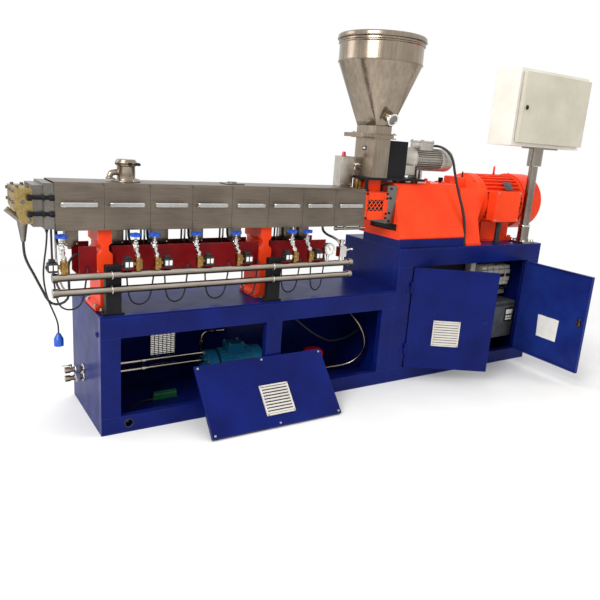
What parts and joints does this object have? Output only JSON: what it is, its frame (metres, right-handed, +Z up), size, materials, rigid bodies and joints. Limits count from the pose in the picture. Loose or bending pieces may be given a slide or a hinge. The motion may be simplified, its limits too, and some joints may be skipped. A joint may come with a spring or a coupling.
{
  "type": "twin-screw plastic extruder",
  "caption": "Twin-screw plastic extruder: covered barrel with die, water pipes and valves on a sheet base, gearbox, motor, hopper feeder, cabinet with doors and control box on a post.",
  "frame": {"origin": "on the floor under the middle of the base's footprint", "axes": "+X along the barrel from the die to the motor, +Y from the front to the back, +Z up"},
  "size_m": [3.6844, 1.1047, 2.052],
  "materials": {
    "base_blue": "glossy",
    "orange_paint": "glossy",
    "stainless_sheet": "brushed",
    "bright_steel": "satin",
    "cream_paint": "satin",
    "black_paint": "satin",
    "motor_aluminium": "satin",
    "valve_brass": "satin",
    "white_vent": "satin",
    "blue_plastic": "glossy",
    "teal_paint": "glossy",
    "cable_black": "matte"
  },
  "bodies": {
    "machine": {"floor_pan": "base_blue", "deck": "base_blue", "left_end_wall": "base_blue", "base_back_wall": "base_blue", "front_rails": "base_blue", "front_stiles": "base_blue", "cabinet_side_walls": "base_blue", "cabinet_back_wall": "base_blue", "cabinet_top": "base_blue", "cabinet_rails": "base_blue", "cabinet_stiles": "base_blue", "mounting_plate": "bright_steel", "inverter_drive": "black_paint", "gearbox_plinth": "base_blue", "gearbox_housing": "orange_paint", "gearbox_flange": "bright_steel", "coupling_guard": "orange_paint", "screw_couplings": "bright_steel", "bell_housing": "orange_paint", "motor_body": "orange_paint", "motor_fan_cowl": "orange_paint", "motor_terminal_box": "orange_paint", "control_post": "stainless_sheet", "control_box": "cream_paint", "feeder_plate": "black_paint", "feeder_body": "stainless_sheet", "feed_hopper": "stainless_sheet", "hopper_lid": "stainless_sheet", "feeder_gear_cover": "black_paint", "feeder_motor": "motor_aluminium", "feed_throat": "orange_paint", "junction_box": "motor_aluminium", "barrel": "bright_steel", "barrel_covers": "stainless_sheet", "cover_handles": "bright_steel", "vent_port": "stainless_sheet", "die_flanges": "bright_steel", "die_block": "valve_brass", "die_nozzle": "bright_steel", "barrel_stands": "orange_paint", "hose_trough": "orange_paint", "water_pipes": "bright_steel", "pipe_posts": "black_paint", "water_valves": "valve_brass", "valve_handwheels": "blue_plastic", "solenoid_coils": "black_paint", "pressure_gauge": "bright_steel", "drain_pipes": "bright_steel", "cooling_pump": "teal_paint", "cover_panel": "base_blue", "panel_louvre": "white_vent", "feed_lead": "cable_black", "motor_conduit": "cable_black", "die_cable": "cable_black", "plug_lead": "cable_black", "lead_plug": "blue_plastic"},
    "left_door": {"left_door": "base_blue", "left_door_louvre": "white_vent"},
    "right_door": {"right_door": "base_blue"},
    "control_box_door": {"control_box_door": "cream_paint"}
  },
  "joints": [
    {"name": "left_door_hinge", "type": "hinge", "parent": "machine", "child": "left_door", "pos_m": [0.349, -0.29, 0.414], "axis": [0, 0, -1], "range_deg": [-32, 78]},
    {"name": "right_door_hinge", "type": "hinge", "parent": "machine", "child": "right_door", "pos_m": [1.431, -0.29, 0.414], "axis": [0, 0, 1], "range_deg": [-87, 33]},
    {"name": "control_box_hinge", "type": "hinge", "parent": "machine", "child": "control_box_door", "pos_m": [1.77, -0.2905, 1.75], "axis": [0, 0, 1], "range_deg": [0, 110]}
  ]
}
